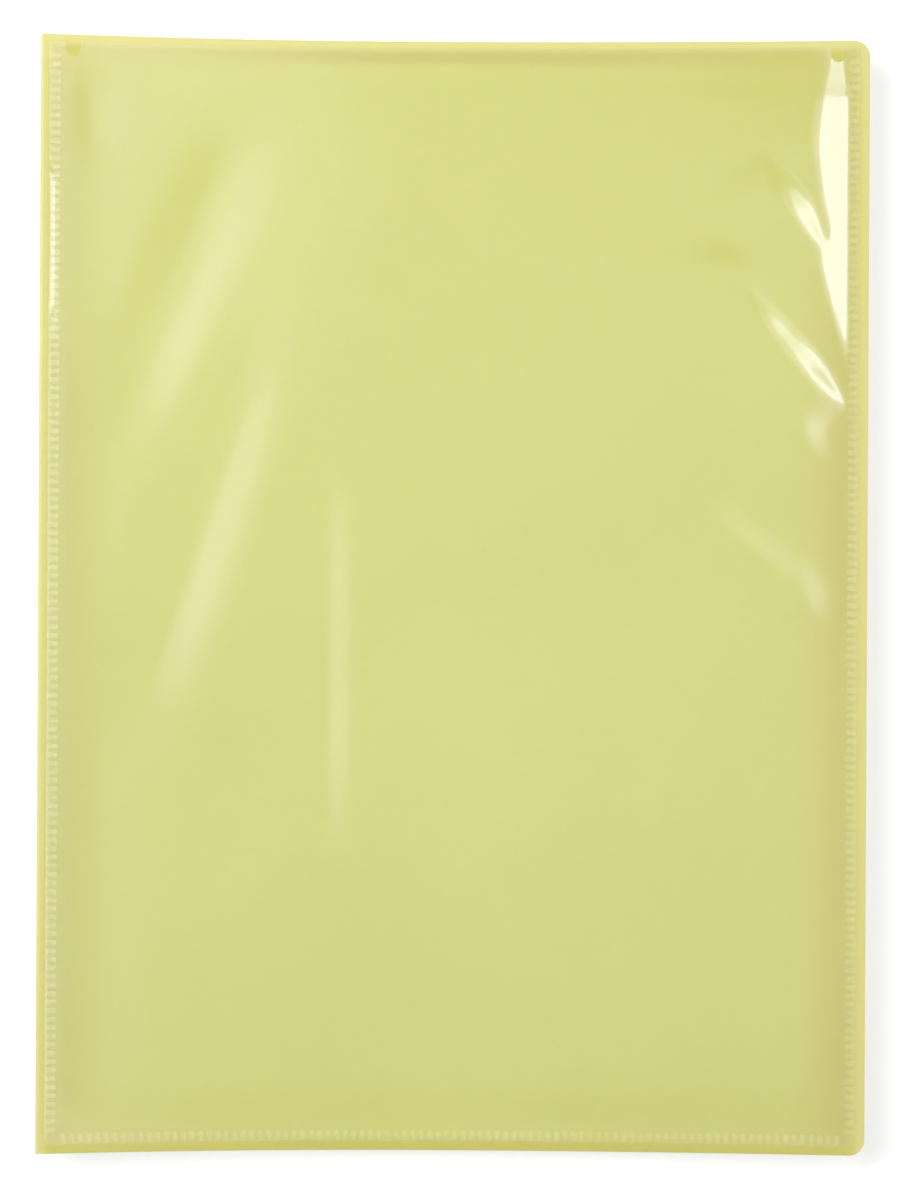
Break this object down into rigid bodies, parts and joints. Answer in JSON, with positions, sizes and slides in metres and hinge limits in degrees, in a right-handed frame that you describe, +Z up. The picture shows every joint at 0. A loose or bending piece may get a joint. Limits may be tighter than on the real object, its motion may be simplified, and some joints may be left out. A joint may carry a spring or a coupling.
{
  "type": "display book",
  "caption": "A4 display book: a folded translucent cover sheet with a clear welded pocket on its front, and clear head-loading pockets bound along the spine.",
  "frame": {"origin": "under the middle of the closed book, in the plane its back cover lies on", "axes": "+X from the spine to the free edge, +Y from the foot of the book to its head, +Z up through the front cover"},
  "size_m": [0.23, 0.31, 0.015],
  "materials": {
    "cover_sheet": "translucent pastel yellow polypropylene, satin",
    "front_film": "clear glossy film, slightly wavy",
    "front_weld": "fused film, paler than the cover",
    "binding": "fused clear film, milky",
    "pocket_film": "clear film with a fine grain"
  },
  "bodies": {
    "back": {"back_cover": "cover_sheet"},
    "spine": {"spine_panel": "cover_sheet", "binding_strip": "binding"},
    "front": {"front_cover": "cover_sheet", "front_pocket_film": "front_film", "front_pocket_weld": "front_weld"},
    "leaf_01": {"pocket_01": "pocket_film"},
    "leaf_02": {"pocket_02": "pocket_film"},
    "leaf_03": {"pocket_03": "pocket_film"},
    "leaf_04": {"pocket_04": "pocket_film"},
    "leaf_05": {"pocket_05": "pocket_film"},
    "leaf_06": {"pocket_06": "pocket_film"},
    "leaf_07": {"pocket_07": "pocket_film"},
    "leaf_08": {"pocket_08": "pocket_film"},
    "leaf_09": {"pocket_09": "pocket_film"},
    "leaf_10": {"pocket_10": "pocket_film"},
    "leaf_11": {"pocket_11": "pocket_film"},
    "leaf_12": {"pocket_12": "pocket_film"},
    "leaf_13": {"pocket_13": "pocket_film"},
    "leaf_14": {"pocket_14": "pocket_film"},
    "leaf_15": {"pocket_15": "pocket_film"},
    "leaf_16": {"pocket_16": "pocket_film"},
    "leaf_17": {"pocket_17": "pocket_film"},
    "leaf_18": {"pocket_18": "pocket_film"},
    "leaf_19": {"pocket_19": "pocket_film"},
    "leaf_20": {"pocket_20": "pocket_film"}
  },
  "joints": [
    {"name": "spine_fold", "type": "hinge", "parent": "back", "child": "spine", "pos_m": [-0.11475, 0, 0.00025], "axis": [0, -1, 0], "range_deg": [0, 90]},
    {"name": "front_cover_fold", "type": "hinge", "parent": "spine", "child": "front", "pos_m": [-0.11475, 0, 0.01475], "axis": [0, -1, 0], "range_deg": [0, 90]},
    {"name": "pocket_01_turn", "type": "hinge", "parent": "spine", "child": "leaf_01", "pos_m": [-0.112, 0, 0.00564], "axis": [0, -1, 0], "range_deg": [0, 88]},
    {"name": "pocket_02_turn", "type": "hinge", "parent": "spine", "child": "leaf_02", "pos_m": [-0.11175, 0, 0.00539], "axis": [0, -1, 0], "range_deg": [0, 88]},
    {"name": "pocket_03_turn", "type": "hinge", "parent": "spine", "child": "leaf_03", "pos_m": [-0.1115, 0, 0.00513], "axis": [0, -1, 0], "range_deg": [0, 88]},
    {"name": "pocket_04_turn", "type": "hinge", "parent": "spine", "child": "leaf_04", "pos_m": [-0.11125, 0, 0.00488], "axis": [0, -1, 0], "range_deg": [0, 88]},
    {"name": "pocket_05_turn", "type": "hinge", "parent": "spine", "child": "leaf_05", "pos_m": [-0.111, 0, 0.00464], "axis": [0, -1, 0], "range_deg": [0, 88]},
    {"name": "pocket_06_turn", "type": "hinge", "parent": "spine", "child": "leaf_06", "pos_m": [-0.11075, 0, 0.00439], "axis": [0, -1, 0], "range_deg": [0, 88]},
    {"name": "pocket_07_turn", "type": "hinge", "parent": "spine", "child": "leaf_07", "pos_m": [-0.1105, 0, 0.00413], "axis": [0, -1, 0], "range_deg": [0, 88]},
    {"name": "pocket_08_turn", "type": "hinge", "parent": "spine", "child": "leaf_08", "pos_m": [-0.11025, 0, 0.00388], "axis": [0, -1, 0], "range_deg": [0, 88]},
    {"name": "pocket_09_turn", "type": "hinge", "parent": "spine", "child": "leaf_09", "pos_m": [-0.11, 0, 0.00364], "axis": [0, -1, 0], "range_deg": [0, 88]},
    {"name": "pocket_10_turn", "type": "hinge", "parent": "spine", "child": "leaf_10", "pos_m": [-0.10975, 0, 0.00338], "axis": [0, -1, 0], "range_deg": [0, 88]},
    {"name": "pocket_11_turn", "type": "hinge", "parent": "spine", "child": "leaf_11", "pos_m": [-0.10975, 0, 0.00314], "axis": [0, -1, 0], "range_deg": [-91, 0]},
    {"name": "pocket_12_turn", "type": "hinge", "parent": "spine", "child": "leaf_12", "pos_m": [-0.11, 0, 0.00288], "axis": [0, -1, 0], "range_deg": [-91, 0]},
    {"name": "pocket_13_turn", "type": "hinge", "parent": "spine", "child": "leaf_13", "pos_m": [-0.11025, 0, 0.00264], "axis": [0, -1, 0], "range_deg": [-91, 0]},
    {"name": "pocket_14_turn", "type": "hinge", "parent": "spine", "child": "leaf_14", "pos_m": [-0.1105, 0, 0.00238], "axis": [0, -1, 0], "range_deg": [-91, 0]},
    {"name": "pocket_15_turn", "type": "hinge", "parent": "spine", "child": "leaf_15", "pos_m": [-0.11075, 0, 0.00214], "axis": [0, -1, 0], "range_deg": [-91, 0]},
    {"name": "pocket_16_turn", "type": "hinge", "parent": "spine", "child": "leaf_16", "pos_m": [-0.111, 0, 0.00188], "axis": [0, -1, 0], "range_deg": [-91, 0]},
    {"name": "pocket_17_turn", "type": "hinge", "parent": "spine", "child": "leaf_17", "pos_m": [-0.11125, 0, 0.00163], "axis": [0, -1, 0], "range_deg": [-91, 0]},
    {"name": "pocket_18_turn", "type": "hinge", "parent": "spine", "child": "leaf_18", "pos_m": [-0.1115, 0, 0.00138], "axis": [0, -1, 0], "range_deg": [-91, 0]},
    {"name": "pocket_19_turn", "type": "hinge", "parent": "spine", "child": "leaf_19", "pos_m": [-0.11175, 0, 0.00113], "axis": [0, -1, 0], "range_deg": [-91, 0]},
    {"name": "pocket_20_turn", "type": "hinge", "parent": "spine", "child": "leaf_20", "pos_m": [-0.112, 0, 0.00089], "axis": [0, -1, 0], "range_deg": [-91, 0]}
  ],
  "couplings": [
    {"joint": "pocket_01_turn", "follows": "front_cover_fold", "ratio": 0.95556},
    {"joint": "pocket_02_turn", "follows": "front_cover_fold", "ratio": 0.95333},
    {"joint": "pocket_03_turn", "follows": "front_cover_fold", "ratio": 0.95111},
    {"joint": "pocket_04_turn", "follows": "front_cover_fold", "ratio": 0.94889},
    {"joint": "pocket_05_turn", "follows": "front_cover_fold", "ratio": 0.94667},
    {"joint": "pocket_06_turn", "follows": "front_cover_fold", "ratio": 0.94444},
    {"joint": "pocket_07_turn", "follows": "front_cover_fold", "ratio": 0.94222},
    {"joint": "pocket_08_turn", "follows": "front_cover_fold", "ratio": 0.94},
    {"joint": "pocket_09_turn", "follows": "front_cover_fold", "ratio": 0.93778},
    {"joint": "pocket_10_turn", "follows": "front_cover_fold", "ratio": 0.93556},
    {"joint": "pocket_11_turn", "follows": "spine_fold", "ratio": -0.98556},
    {"joint": "pocket_12_turn", "follows": "spine_fold", "ratio": -0.98778},
    {"joint": "pocket_13_turn", "follows": "spine_fold", "ratio": -0.99},
    {"joint": "pocket_14_turn", "follows": "spine_fold", "ratio": -0.99222},
    {"joint": "pocket_15_turn", "follows": "spine_fold", "ratio": -0.99444},
    {"joint": "pocket_16_turn", "follows": "spine_fold", "ratio": -0.99667},
    {"joint": "pocket_17_turn", "follows": "spine_fold", "ratio": -0.99889},
    {"joint": "pocket_18_turn", "follows": "spine_fold", "ratio": -1.0011},
    {"joint": "pocket_19_turn", "follows": "spine_fold", "ratio": -1.0033},
    {"joint": "pocket_20_turn", "follows": "spine_fold", "ratio": -1.0056}
  ]
}
